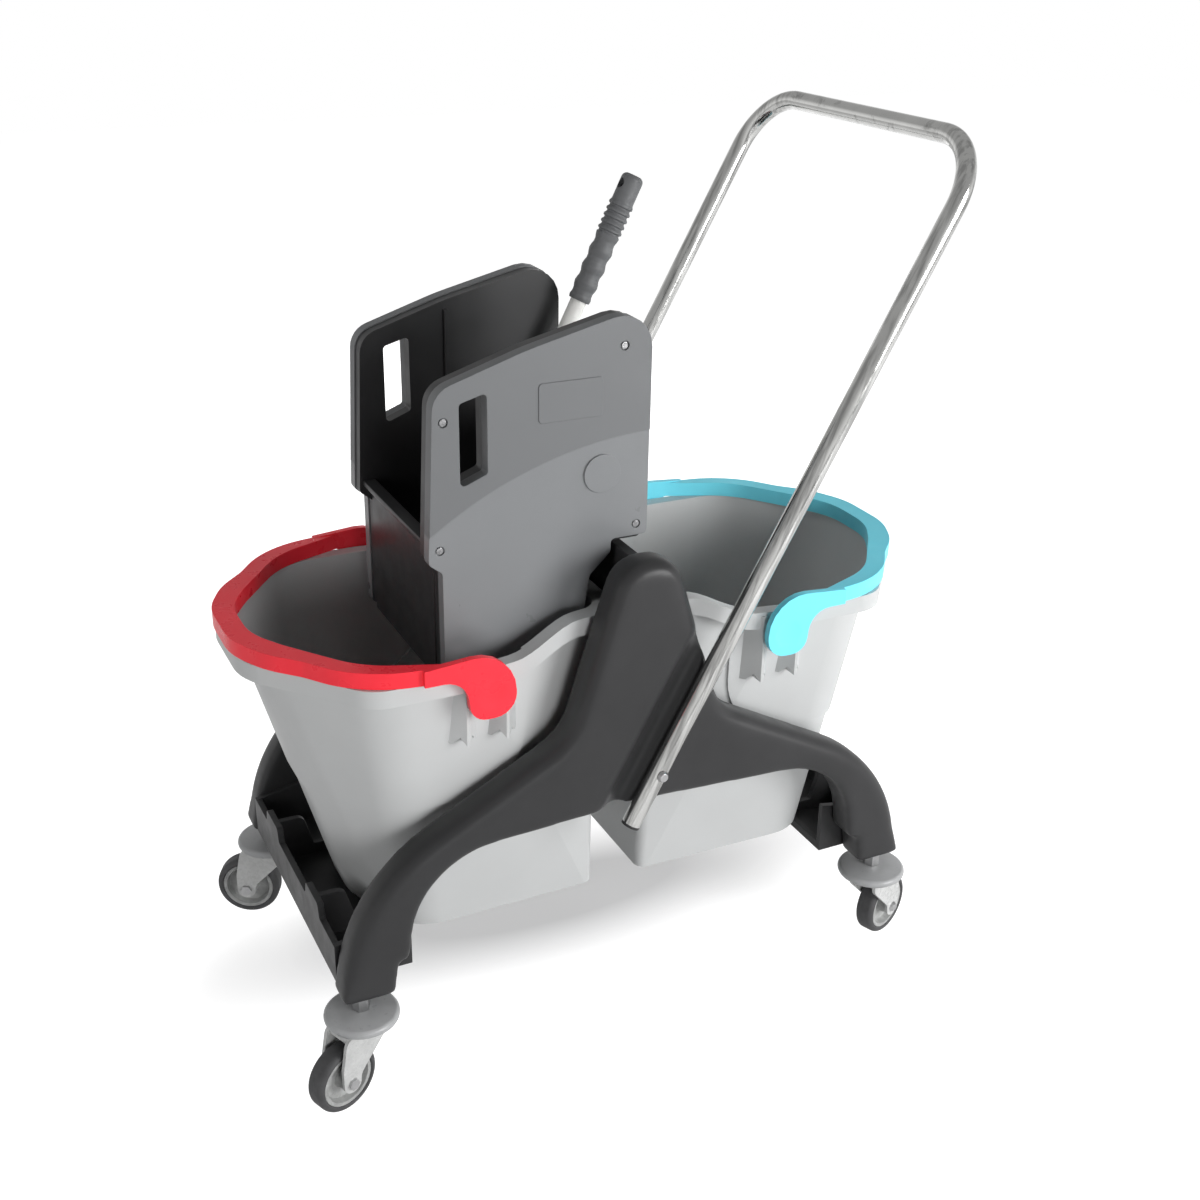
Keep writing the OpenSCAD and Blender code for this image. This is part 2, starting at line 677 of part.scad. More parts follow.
// Flange with the skirt that hangs from its edge
module rim() difference() {
    intersection() {
        prism(rim_plan, rim_z - skirt_h - cut, hump_z + cut);
        rim_band(0, skirt_h);
    }
    intersection() {
        prism(rim_plan, rim_z - skirt_h - 2 * cut, hump_z + 2 * cut, skirt_t);
        rim_band(flange_t, skirt_h + cut);
    }
}
module right_bucket() {
    color(light_grey) {
        difference() {
            union() {
                taper(step_in, 0);
                intersection() {
                    taper(0, 0);
                    above_step(0);
                }
                rim();
                pivot_mount();
                back() pivot_mount();
            }
            taper(step_in + bucket_wall, bucket_wall);
            intersection() {
                taper(bucket_wall, bucket_wall);
                above_step(bucket_wall);
            }
            rim_band(rim_z - past_z, 0);
        }
        stud();
        back() stud();
    }
}
module left_bucket() left() right_bucket();

// Bails

bail_z = rim_z + rest_gap;
lobe_out_y = lobe_in_y + lobe_t;
arm_x = bail_pivot_x + lobe_r + 4;
arm_step = 14;
// Corners of the back half of the band's outer and inner edges
bail_outer = [
    [arm_x, lobe_out_y, 0], [bail_end_x - 92, lobe_out_y - 13, 110], [bail_end_x - 52, 117, 40],
    [bail_end_x - 22, 86, 110], [bail_end_x, 40, 95]
];
bail_inner = [
    [arm_x + arm_step, lobe_in_y, 0], [bail_end_x - 100, lobe_in_y - 30, 100],
    [bail_end_x - bail_w - 51, 112, 60], [bail_end_x - bail_w - 23, 74, 120], [bail_end_x - bail_w, 36, 85]
];
function front_half(pts) = [for (i = [len(pts) - 1:-1:0]) [pts[i][0], -pts[i][1], pts[i][2]]];
lobe_top = 47;
dish_half = 18;
dish_depth = 1.4;
dish_r = (dish_half * dish_half + dish_depth * dish_depth) / (2 * dish_depth);
arm_low = bail_z - bail_pivot_z;
arm_top = arm_low + bail_h;
arm_end_x = arm_x + 40;
module lobe() {
    difference() {
        union() {
            slab(lobe_in_y, lobe_out_y) translate([bail_pivot_x, bail_pivot_z]) polygon(rounded([
                [arm_end_x - bail_pivot_x, arm_low, 0], [lobe_r + 2, arm_low, 25], [lobe_r - 3, -lobe_r, 18],
                [-lobe_r, -lobe_r, 23], [-lobe_r, lobe_top, 42], [arm_end_x - bail_pivot_x, arm_top, 0]
            ]));
        }
        // Shallow dish for the thumb in the outer face
        translate([bail_pivot_x, dish_depth - lobe_out_y - dish_r, bail_pivot_z]) sphere(r = dish_r, $fn = 96);
        rod_y(bail_pivot_x, bail_pivot_z, stud_d + 2 * run_gap, lobe_in_y - cut, lobe_in_y + stud_len);
    }
}
module bail() {
    translate([0, 0, bail_z]) linear_extrude(bail_h) difference() {
        polygon(rounded(concat(bail_outer, front_half(bail_outer))));
        polygon(rounded(concat(bail_inner, front_half(bail_inner))));
        translate([0, -lobe_in_y]) square([arm_x + arm_step + seat_gap, 2 * lobe_in_y]);
    }
    lobe();
    back() lobe();
}
module right_bail() color(blue) bail();
module left_bail() color(red) left() bail();

// Wringer

cover_out = wringer_w / 2;
panel_in = mop_w / 2;
seam = (cover_out + panel_in) / 2;
step_z = rail_top_z + 8;
step_x = -12;
panel_seat_z = rail_top_z + rest_gap;
// Outline of a side wall, clockwise from the top right; low is the edge over the centre rail
function wall_corners(low) = [
    [cover_right_x, cover_top_z, 34], [cover_right_x, low, 5], [step_x, low, 5],
    [step_x, low - 14, 6], [step_x - 23, low - 36, 8], [step_x - 39, wringer_low_z, 6],
    [end_wall_x, wringer_low_z, 6], [end_wall_x, rail_top_z + 1, 5], [end_wall_x - 14, rail_top_z + 12, 7],
    [end_wall_x - 6, cover_top_z - 63.5, 26], [step_x - 93, cover_top_z - 33, 400]
];
screw_spots = [
    [-189, cover_top_z - 93], [-1.5, cover_top_z - 39], [16, rail_top_z + 20], [-195, rail_top_z + 25]
];
slot_corners = [
    [-173, cover_top_z - 160, 4], [-173, cover_top_z - 77, 4],
    [-145, cover_top_z - 69, 4], [-145, cover_top_z - 149, 4]
];
slot_lip = 2.5;
post_d = 12;
screw_d = 4;
screw_head_d = 7;
screw_head_h = 2;
screw_recess = 2.4;
screw_recess_d = screw_head_d + 2.4;
bush_d = 24;
bush_flange_d = 30;
bush_flange_t = 3;
bush_len = 20;
// How far the inner panels stay inside the covers' outline
seam_step = 1.2;

// A side wall's half shell with its hand slot, screw posts and shaft boss; the open side faces the seam
module half_shell(corners, face, open, toward, less = 0) {
    outline = inset(rounded(corners), less);
    floor_at = face + toward * shell;
    difference() {
        union() {
            difference() {
                slab(min(face, open), max(face, open)) polygon(outline);
                slab(min(floor_at, open + toward), max(floor_at, open + toward)) polygon(inset(outline, shell));
            }
            slab(min(face, open), max(face, open)) polygon(inset(rounded(slot_corners), -slot_lip));
            for (p = screw_spots) rod_y(p[0], p[1], post_d, min(face, open), max(face, open));
        }
        slab(panel_in - cut, cover_out + cut) polygon(rounded(slot_corners));
        for (p = screw_spots) rod_y(p[0], p[1], screw_d + 2 * seat_gap, panel_in + shell, cover_out + cut);
    }
}
boss_at = 40;
panel_rib_x = -103;
panel_rib = 5;
module inner_panel_front() {
    color(black) difference() {
        union() {
            half_shell(wall_corners(panel_seat_z - seam_step), panel_in, seam, 1, seam_step);
            rod_y(press_x, press_z, bush_d + 10, panel_in, panel_in + shell + 4);
            // Upright rib on the mop side
            translate([panel_rib_x - panel_rib / 2, -panel_in - cut, end_wall_z + 40])
                cube([panel_rib, panel_rib / 2 + cut, cover_top_z - 44 - end_wall_z - 40]);
        }
        rod_y(press_x, press_z, bush_d + 2 * seat_gap, panel_in - cut, panel_in + bush_len);
    }
}
module inner_panel_back() back() inner_panel_front();

crease_r = 420;
crease_x = 40;
crease_z = 245;
crease_depth = 1.2;
plate_x = -92.5;
plate_z = cover_top_z - 106;
plate_w = 68;
plate_h = 39.5;
plate_t = 1.2;
plate_r = 4;
// Depth of the face under a screw's head
function screw_seat(p) =
    cover_out - screw_recess - (norm(p - [crease_x, crease_z]) < crease_r ? crease_depth : 0);
module side_cover_front() {
    color(charcoal) {
        difference() {
            half_shell(wall_corners(step_z), cover_out, seam, -1);
            // The lower field lies a little deeper, below an arc
            rod_y(crease_x, crease_z, 2 * crease_r, cover_out - crease_depth, cover_out + cut, $fn = 180);
            for (p = screw_spots) rod_y(p[0], p[1], screw_recess_d, screw_seat(p), cover_out + cut);
        }
        rod_y(press_x, press_z, boss_at, cover_out - shell, cover_out + 1);
        // Bare rectangular plate
        slab(cover_out - cut, cover_out + plate_t) translate([plate_x, plate_z]) polygon(rounded([
            [0, 0, plate_r], [0, plate_h, plate_r], [plate_w, plate_h, plate_r], [plate_w, 0, plate_r]
        ]));
    }
}
module side_cover_back() back() side_cover_front();

lip_w = 14;
lip_t = 6;
wall_t = 5;
module end_wall() {
    color(black) slab(-panel_in, panel_in) polygon([
        [end_wall_x, wringer_low_z], [end_wall_x, end_wall_z - lip_t - 6],
        [end_wall_x - lip_w + wall_t, end_wall_z - lip_t], [end_wall_x - lip_w + wall_t, end_wall_z],
        [end_wall_x + wall_t, end_wall_z],
        [end_wall_x + wall_t, wringer_low_z]
    ]);
}
tie_h = 34;
tie_t = 6;
module tie_bar() {
    color(black) slab(-panel_in, panel_in) polygon([
        [cover_right_x - 2 * tie_t, panel_seat_z], [cover_right_x - 2 * tie_t, panel_seat_z + tie_t],
        [cover_right_x - tie_t, panel_seat_z + tie_t], [cover_right_x - tie_t, panel_seat_z + tie_h],
        [cover_right_x, panel_seat_z + tie_h], [cover_right_x, panel_seat_z]
    ]);
}
grid_r = jaw_len + 3;
grid_t = 4;
grid_from = jaw_lean - 4;
grid_to = 58;
grid_bars = 10;
bar_w = 7;
// A strip curved about the press shaft, between two angles left of straight down
module curved(r0, r1, a0, a1, y0, y1)
    translate([press_x, 0, press_z]) rotate([90, 0, 0]) rotate([0, 0, 270 - a1])
        rotate_extrude(angle = a1 - a0, $fn = 96) translate([r0, y0]) square([r1 - r0, y1 - y0]);
module drain_grid() {
    pitch = (mop_w - bar_w) / grid_bars;
    color(black) difference() {
        curved(grid_r, grid_r + grid_t, grid_from, grid_to, -panel_in, panel_in);
        for (i = [0:grid_bars - 1])
            curved(grid_r - cut, grid_r + grid_t + cut, grid_from + 4, grid_to - 6,
                   -panel_in + bar_w + i * pitch, -panel_in + (i + 1) * pitch);
    }
}
module cover_screws() {
    color(steel) for (m = [0, 1]) mirror([0, m, 0]) for (p = screw_spots) {
        rod_y(p[0], p[1], screw_d, panel_in + shell + 1, screw_seat(p) + cut);
        rod_y(p[0], p[1], screw_head_d, screw_seat(p), screw_seat(p) + screw_head_h);
    }
}
module shaft_bushes() {
    color(light_grey) for (m = [0, 1]) mirror([0, m, 0]) difference() {
        union() {
            rod_y(press_x, press_z, bush_flange_d, panel_in - bush_flange_t, panel_in);
            rod_y(press_x, press_z, bush_d, panel_in - cut, panel_in + bush_len);
        }
        rod_y(press_x, press_z, shaft_d + 2 * run_gap, panel_in - bush_flange_t - cut, panel_in + bush_len + cut);
    }
}

// Torsion spring round the front bush, one unbroken wire
wire_r = 1.1;
spring_rings = 12;
spring_r = (bush_d / 2 + rest_gap + wire_r) / cos(180 / spring_rings);
spring_turns = 4;
spring_pitch = 2.8;
wire_sides = 6;
spring_y = panel_in + shell + 4 + rest_gap + wire_r;
function spring_point(k) =
    let (a = 360 * k / spring_rings)
    [press_x + spring_r * cos(a), -spring_y - spring_pitch * k / spring_rings, press_z + spring_r * sin(a)];
module return_spring() {
    count = spring_turns * spring_rings;
    points = [for (k = [0:count]) for (i = [0:wire_sides - 1])
        let (a = 360 * k / spring_rings, b = 360 * i / wire_sides, out = wire_r * cos(b))
        spring_point(k) + [out * cos(a), -wire_r * sin(b), out * sin(a)]];
    skin = [for (k = [0:count - 1]) for (i = [0:wire_sides - 1])
        let (j = (i + 1) % wire_sides, p = k * wire_sides, q = p + wire_sides)
        each [[p + i, q + i, q + j], [p + i, q + j, p + j]]];
    color(steel) polyhedron(points, concat(
        skin,
        [for (i = [1:wire_sides - 2]) [0, i, i + 1]],
        [for (i = [1:wire_sides - 2]) let (q = count * wire_sides) [q, q + i + 1, q + i]]
    ));
}

// Press

module on_press(lean) translate([press_x, 0, press_z]) rotate([0, lean, 0]) children();
hub_r = 15;
jaw_half = panel_in - bush_flange_t - 2;
jaw_t = 6;
jaw_rib = 9;
socket_len = 62;
socket_d = lever_d + 8;
tube_from = hub_r + 3;
module press_jaw() {
    slot_h = 34;
    slot_pitch = (2 * jaw_half - 12) / 9;
    color(black) difference() {
        union() {
            rod_y(press_x, press_z, 2 * hub_r, -jaw_half, jaw_half);
            on_press(jaw_lean) {
                translate([-jaw_t / 2, -jaw_half, -jaw_len]) cube([jaw_t, 2 * jaw_half, jaw_len]);
                for (y = [-jaw_half, -jaw_half / 2, 0, jaw_half / 2, jaw_half])
                    translate([0, y - sign(y) * 2, 0]) slab(-2, 2)
                        polygon([[0, 0], [hub_r, 0], [jaw_rib, -jaw_len / 2], [jaw_t, -jaw_len], [0, -jaw_len]]);
            }
            on_press(lever_lean) translate([0, lever_y, 0]) cylinder(d = socket_d, h = socket_len);
        }
        rod_y(press_x, press_z, shaft_d + 2 * seat_gap, -jaw_half - cut, jaw_half + cut);
        on_press(lever_lean) translate([0, lever_y, tube_from])
            cylinder(d = lever_d + 2 * seat_gap, h = socket_len);
        // Drain slots between the ribs
        on_press(jaw_lean) for (row = [0:2]) for (i = [-4:4])
            translate([-jaw_t, i * slot_pitch - 4, -jaw_len + 16 + row * (slot_h + 10)])
                cube([2 * jaw_t, 8, slot_h]);
    }
}
shaft_end = panel_in + bush_len + 2;
module pivot_shaft() color(steel) rod_y(press_x, press_z, shaft_d, -shaft_end, shaft_end);

hole_from_tip = 13;
hole_d = 11;
tube_to = lever_len - hole_from_tip - hole_d;
module lever_tube() {
    color(steel) on_press(lever_lean) translate([0, lever_y, tube_from]) difference() {
        cylinder(d = lever_d, h = tube_to - tube_from);
        translate([0, 0, -cut]) cylinder(d = lever_d - 3, h = tube_to - tube_from + 2 * cut);
    }
}
grip_rings = 5;
ring_pitch = 7;
rings_from = 32;
waves = 4;
// Half profile of the grip, from its open end to its tip
grip_plain = grip_len - rings_from - grip_rings * ring_pitch;
function grip_radius(s) = grip_d / 2 - 1 + cos(360 * waves * s / grip_plain);
module lever_grip() {
    low = lever_len - grip_len;
    rings_low = low + grip_plain;
    color(charcoal) on_press(lever_lean) translate([0, lever_y, 0]) difference() {
        rotate_extrude() polygon(concat(
            [[lever_d / 2 + seat_gap, low], [grip_d / 2 - 1.5, low]],
            [for (i = [1:20]) [grip_radius(grip_plain * i / 20), low + grip_plain * i / 20]],
            [for (i = [0:grip_rings - 1]) each [
                [grip_d / 2 - 1.5, rings_low + i * ring_pitch + 1.5],
                [grip_d / 2 - 1.5, rings_low + i * ring_pitch + 3],
                [grip_d / 2 + 0.4, rings_low + i * ring_pitch + 4],
                [grip_d / 2 + 0.4, rings_low + i * ring_pitch + 6]
            ]],
            [[grip_d / 2 - 1, rings_low + grip_rings * ring_pitch + 2]],
            [for (a = [0:15:75]) [grip_d / 2 - 7, lever_len - 6] + 6 * [cos(a), sin(a)]],
            [[0, lever_len], [0, tube_to + seat_gap], [lever_d / 2 + seat_gap, tube_to + seat_gap]]
        ));
        translate([0, 0, lever_len - hole_from_tip]) rotate([0, 90, 0])
            cylinder(d = hole_d, h = 2 * grip_d, center = true);
    }
}

side_frame_front();
side_frame_back();
end_beam_left();
end_beam_right();
centre_divider();
push_handle();
handle_end_plugs();
handle_bolts();
handle_nuts();
caster_stems();
front_left_fork();
front_left_bumper();
front_left_axle();
front_left_hub();
front_left_tyre();
front_right_fork();
front_right_bumper();
front_right_axle();
front_right_hub();
front_right_tyre();
back_left_fork();
back_left_bumper();
back_left_axle();
back_left_hub();
back_left_tyre();
back_right_fork();
back_right_bumper();
back_right_axle();
back_right_hub();
back_right_tyre();
left_bucket();
right_bucket();
left_bail();
right_bail();
inner_panel_front();
inner_panel_back();
side_cover_front();
side_cover_back();
end_wall();
tie_bar();
drain_grid();
cover_screws();
shaft_bushes();
return_spring();
press_jaw();
pivot_shaft();
lever_tube();
lever_grip();
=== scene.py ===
"""Double mop bucket trolley: looks, light and the photograph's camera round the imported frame."""
import json
import math

import bpy
from mathutils import Matrix, Vector

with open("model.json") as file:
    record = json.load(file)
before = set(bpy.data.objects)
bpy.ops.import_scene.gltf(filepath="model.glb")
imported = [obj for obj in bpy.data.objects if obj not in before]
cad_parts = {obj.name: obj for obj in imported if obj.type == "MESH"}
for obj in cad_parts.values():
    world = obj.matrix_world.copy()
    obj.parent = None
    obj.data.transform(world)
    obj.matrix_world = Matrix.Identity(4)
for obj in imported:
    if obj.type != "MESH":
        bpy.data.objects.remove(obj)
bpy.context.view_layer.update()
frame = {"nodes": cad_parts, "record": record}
nodes = frame["nodes"]
scene = bpy.context.scene
scene.view_settings.view_transform = "Standard"


# Shader helpers

def add(tree, kind, **values):
    """A shader node with its properties and named or numbered inputs set."""
    node = tree.nodes.new(kind)
    for key, value in values.items():
        if key == "inputs":
            for name, given in value.items():
                node.inputs[name].default_value = given
        else:
            setattr(node, key, value)
    return node


def noise(tree, coords, scale, detail, rough=0.55, distort=0.0, stretch=None, lean=0.0):
    """Noise in metres of the row frame, stretched along a direction that leans from Z to X."""
    source = coords
    if stretch:
        upright = add(tree, "ShaderNodeVectorRotate", rotation_type="Y_AXIS", inputs={"Angle": -lean})
        tree.links.new(coords, upright.inputs["Vector"])
        mapping = add(tree, "ShaderNodeMapping", inputs={"Scale": stretch})
        tree.links.new(upright.outputs["Vector"], mapping.inputs["Vector"])
        source = mapping.outputs["Vector"]
    tex = add(tree, "ShaderNodeTexNoise",
              inputs={"Scale": scale, "Detail": detail, "Roughness": rough, "Distortion": distort})
    tree.links.new(source, tex.inputs["Vector"])
    return tex.outputs["Fac"]


def remap(tree, value, band, to_low, to_high):
    """Stretches the values inside a band to the given ends, and clamps the rest."""
    node = add(tree, "ShaderNodeMapRange",
               inputs={"From Min": band[0], "From Max": band[1], "To Min": to_low, "To Max": to_high})
    tree.links.new(value, node.inputs["Value"])
    return node.outputs["Result"]


def mix_colour(tree, factor, a, b):
    """Colour that goes from a to b; each is a colour or a socket."""
    node = add(tree, "ShaderNodeMix", data_type="RGBA")
    for socket, value in ((node.inputs[6], a), (node.inputs[7], b)):
        if isinstance(value, tuple):
            socket.default_value = (*value, 1.0)
        else:
            tree.links.new(value, socket)
    tree.links.new(factor, node.inputs[0])
    return node.outputs[2]


def shade(colour, factor):
    return tuple(min(1.0, c * factor) for c in colour)


def past_circle(tree, coords, x, z, radius, blur=0.0015):
    """One outside a circle on the side faces, nought inside it."""
    flat = add(tree, "ShaderNodeMapping", inputs={"Location": (-x, 0.0, -z), "Scale": (1.0, 0.0, 1.0)})
    tree.links.new(coords, flat.inputs["Vector"])
    far = add(tree, "ShaderNodeVectorMath", operation="LENGTH")
    tree.links.new(flat.outputs["Vector"], far.inputs[0])
    return remap(tree, far.outputs["Value"], (radius - blur, radius + blur), 0.0, 1.0)


# Materials

# Bands of a noise's values: nearly all of it, and the parts that become marks
MOST = (0.3, 0.7)
REFLECTION_STREAK_BAND = (0.45, 0.62)
STAINS = (0.56, 0.66)
SCUFFS = (0.62, 0.74)
PATCH_RATIO = 3.1
GLOSS_SPREAD = 0.06
GRAIN_DEPTH = 0.0004
COAT_ROUGHNESS = 0.12


def paint_reflection_streaks_and_stains(tree, coords, base, colour, reflection_streaks_and_stains):
    """Painted reflection streaks: dark lines along the legs of the bent tube that stand in for reflections; stains
    on the bar between them.
    """
    reflection_lines = noise(tree, coords, reflection_streaks_and_stains["scale"], 3.0, stretch=reflection_streaks_and_stains["stretch"], lean=reflection_streaks_and_stains["lean"])
    marks = remap(tree, reflection_lines, REFLECTION_STREAK_BAND, 0.0, reflection_streaks_and_stains["share"])
    stains = remap(tree, noise(tree, coords, 45.0, 6.0, rough=0.6, distort=0.8), STAINS, 0.0, reflection_streaks_and_stains["share"])
    place = add(tree, "ShaderNodeSeparateXYZ")
    tree.links.new(coords, place.inputs["Vector"])
    aside = add(tree, "ShaderNodeMath", operation="ABSOLUTE")
    tree.links.new(place.outputs["Y"], aside.inputs[0])
    on_leg = remap(tree, aside.outputs[0], reflection_streaks_and_stains["leg_from"], 0.0, 1.0)
    either = add(tree, "ShaderNodeMix")
    for socket, source in (("Factor", on_leg), ("A", stains), ("B", marks)):
        tree.links.new(source, either.inputs[socket])
    return mix_colour(tree, either.outputs["Result"], base, shade(colour, reflection_streaks_and_stains["shade"]))


def scuffed(tree, coords, base, colour, share):
    """Pale upright scuffs."""
    marks = noise(tree, coords, 60.0, 8.0, rough=0.7, distort=1.2, stretch=(1.0, 1.0, 0.35))
    return mix_colour(tree, remap(tree, marks, SCUFFS, 0.0, share), base, shade(colour, 1.9))


def material(name, colour, rough, metallic=0.0, blotch=(9.0, 0.06), reflection_streaks_and_stains=None, grain=(900.0, 0.05),
             specular=0.5, coat=0.0, scuff=0.0, matt_and_painted_shade_field=None):
    """Moulded or plated surface: drifting colour, marks with painted reflection streaks on the tube, patchy gloss,
    fine grain and a matt field darkened by painted shade.

    blotch is the scale and the strength of the drift, grain those of the fine bump.
    """
    mat = bpy.data.materials.new(name)
    mat.use_nodes = True
    tree = mat.node_tree
    bsdf = tree.nodes["Principled BSDF"]
    bsdf.inputs["Metallic"].default_value = metallic
    bsdf.inputs["Specular IOR Level"].default_value = specular
    bsdf.inputs["Coat Weight"].default_value = coat
    bsdf.inputs["Coat Roughness"].default_value = COAT_ROUGHNESS
    coords = add(tree, "ShaderNodeTexCoord").outputs["Object"]
    drift = remap(tree, noise(tree, coords, blotch[0], 5.0), MOST, 0.0, 1.0)
    result = mix_colour(tree, drift, shade(colour, 1 - blotch[1]), shade(colour, 1 + blotch[1]))
    # Dark lines along the tube's legs are painted reflection streaks; the bar gets stains
    if reflection_streaks_and_stains:
        result = paint_reflection_streaks_and_stains(tree, coords, result, colour, reflection_streaks_and_stains)
    if scuff:
        result = scuffed(tree, coords, result, colour, scuff)
    patches = noise(tree, coords, blotch[0] * PATCH_RATIO, 6.0)
    gloss = remap(tree, patches, MOST, rough - GLOSS_SPREAD, rough + GLOSS_SPREAD)
    if matt_and_painted_shade_field:
        # The darker colour outside the circle is painted shade that stands in for the sheen of the field inside it;
        # the extra roughness is the finish
        outside = past_circle(tree, coords, *matt_and_painted_shade_field["circle"])
        result = mix_colour(tree, outside, result, shade(colour, matt_and_painted_shade_field["shade"]))
        rougher = add(tree, "ShaderNodeMath", operation="MULTIPLY_ADD", inputs={1: matt_and_painted_shade_field["rougher"]})
        tree.links.new(outside, rougher.inputs[0])
        tree.links.new(gloss, rougher.inputs[2])
        gloss = rougher.outputs[0]
    tree.links.new(result, bsdf.inputs["Base Color"])
    tree.links.new(gloss, bsdf.inputs["Roughness"])
    if grain:
        bump = add(tree, "ShaderNodeBump", inputs={"Strength": grain[1], "Distance": GRAIN_DEPTH})
        tree.links.new(noise(tree, coords, grain[0], 2.0), bump.inputs["Height"])
        tree.links.new(bump.outputs["Normal"], bsdf.inputs["Normal"])
    return mat


# Dark lines of painted reflection run along the leaning legs, which stand this far from the middle of the trolley
TUBE_REFLECTION_STREAKS_AND_STAINS = {"scale": 190.0, "stretch": (1.0, 1.0, 0.02), "lean": math.radians(22), "leg_from": (0.13, 0.16),
               "share": 0.75, "shade": 0.5}
# The covers are rougher and, as painted shade, darker outside a circle, given by its middle in X and Z and its
# radius
COVER_FIELD = {"circle": (0.040, 0.245, 0.420), "shade": 0.72, "rougher": 0.14}
looks = {
    "chassis_plastic": material("moulded_dark_grey", (0.031, 0.031, 0.032), 0.38, blotch=(14.0, 0.1),
                                grain=(700.0, 0.12), scuff=0.1, specular=0.3),
    "chrome_tube": material("plated_tube", (0.68, 0.68, 0.665), 0.15, metallic=1.0, blotch=(30.0, 0.08),
                            grain=None, reflection_streaks_and_stains=TUBE_REFLECTION_STREAKS_AND_STAINS),
    "zinc_steel": material("zinc_plate", (0.5, 0.5, 0.505), 0.34, metallic=1.0, blotch=(120.0, 0.12),
                           grain=(1500.0, 0.05)),
    "screw_steel": material("screw_steel", (0.3, 0.3, 0.305), 0.3, metallic=1.0, blotch=(300.0, 0.35),
                            grain=(1500.0, 0.05)),
    "black_plastic": material("black_plug", (0.02, 0.02, 0.021), 0.5, grain=(900.0, 0.1)),
    "caster_grey": material("caster_grey", (0.36, 0.365, 0.37), 0.32, blotch=(40.0, 0.08), grain=(900.0, 0.06)),
    "fork_grey": material("fork_grey", (0.5, 0.505, 0.5), 0.28, blotch=(60.0, 0.08), grain=(1200.0, 0.05)),
    "hub_grey": material("hub_grey", (0.34, 0.345, 0.34), 0.32, blotch=(70.0, 0.3), grain=(900.0, 0.06),
                         scuff=0.25),
    "tyre_rubber": material("tyre_rubber", (0.055, 0.055, 0.057), 0.6, blotch=(60.0, 0.18), grain=(1400.0, 0.2)),
    "bucket_grey": material("bucket_grey", (0.53, 0.54, 0.54), 0.4, blotch=(7.0, 0.035), grain=(800.0, 0.05),
                            coat=0.05),
    "bail_red": material("bail_red", (0.96, 0.035, 0.055), 0.3, blotch=(16.0, 0.04), grain=(800.0, 0.06),
                         specular=0.3),
    "bail_blue": material("bail_blue", (0.2, 0.8, 0.97), 0.34, blotch=(16.0, 0.04), grain=(800.0, 0.06),
                          specular=0.2),
    "wringer_charcoal": material("cover_grey", (0.2, 0.207, 0.214), 0.33, blotch=(9.0, 0.04),
                                 grain=(1000.0, 0.05), matt_and_painted_shade_field=COVER_FIELD),
    "wringer_black": material("panel_black", (0.024, 0.024, 0.025), 0.36, blotch=(12.0, 0.1),
                              grain=(900.0, 0.06), specular=0.35),
    "lever_white": material("lever_tube", (0.88, 0.88, 0.85), 0.3, blotch=(50.0, 0.05), grain=(900.0, 0.05)),
    "grip_grey": material("grip_grey", (0.12, 0.123, 0.127), 0.55, blotch=(60.0, 0.1), grain=(1300.0, 0.15)),
}


# Modifiers that clean up the CAD meshes

WELD_REACH = 0.00002
FLAT_ANGLE = math.radians(0.4)
SMOOTH_ANGLE = math.radians(32)
BEVEL_ANGLE = math.radians(38)


def geometry_group(name):
    """An empty geometry node group, with its first and last node."""
    group = bpy.data.node_groups.new(name, "GeometryNodeTree")
    for way in ("INPUT", "OUTPUT"):
        group.interface.new_socket("Geometry", in_out=way, socket_type="NodeSocketGeometry")
    return group, group.nodes.new("NodeGroupInput"), group.nodes.new("NodeGroupOutput")


def smooth_group(angle):
    """Geometry nodes that shade smooth across edges flatter than the angle."""
    group, start, end = geometry_group("smooth_by_angle")
    drop = add(group, "GeometryNodeRemoveAttribute", inputs={"Name": "custom_normal"})
    faces = add(group, "GeometryNodeSetShadeSmooth")
    edges = add(group, "GeometryNodeSetShadeSmooth", domain="EDGE")
    bend = add(group, "GeometryNodeInputMeshEdgeAngle")
    flat = add(group, "FunctionNodeCompare", operation="LESS_THAN", inputs={1: angle})
    group.links.new(start.outputs[0], drop.inputs["Geometry"])
    group.links.new(drop.outputs["Geometry"], faces.inputs["Geometry"])
    group.links.new(faces.outputs["Geometry"], edges.inputs["Geometry"])
    group.links.new(bend.outputs["Unsigned Angle"], flat.inputs[0])
    group.links.new(flat.outputs["Result"], edges.inputs["Shade Smooth"])
    group.links.new(edges.outputs["Geometry"], end.inputs[0])
    return group


